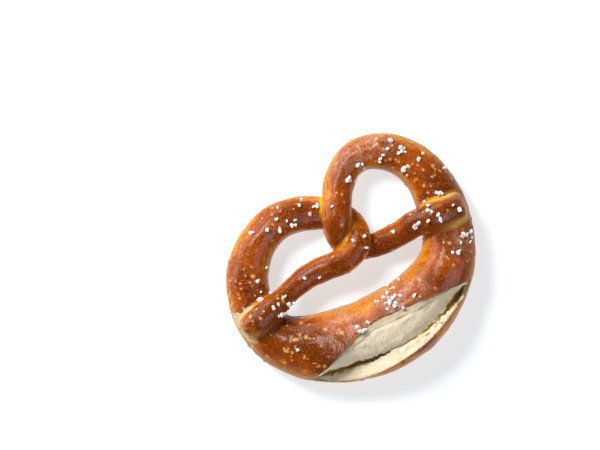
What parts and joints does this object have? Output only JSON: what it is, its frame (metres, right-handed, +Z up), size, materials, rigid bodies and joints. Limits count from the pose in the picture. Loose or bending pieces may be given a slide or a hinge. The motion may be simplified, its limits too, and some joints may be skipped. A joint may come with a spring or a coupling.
{
  "type": "soft pretzel",
  "caption": "Baked soft pretzel: a glossy brown rope of dough in two loops, twisted once, its arm ends on the shoulders of a fat belly split open along its outer side.",
  "frame": {"origin": "under the middle of the pretzel's outline, on the plane that its flat underside rests on", "axes": "+X across the shoulders, along the longest side; +Y from the split belly to the two loops; +Z up from the underside to the crust"},
  "size_m": [0.1486, 0.1254, 0.0314],
  "materials": {
    "crust": "satin to glossy lye-baked crust, orange-brown to mahogany, golden in the creases",
    "crumb": "matte, porous cream crumb in the split and round the arm ends",
    "salt": "coarse opaque white salt"
  },
  "bodies": {
    "root": {"pretzel": "crust"}
  },
  "joints": []
}
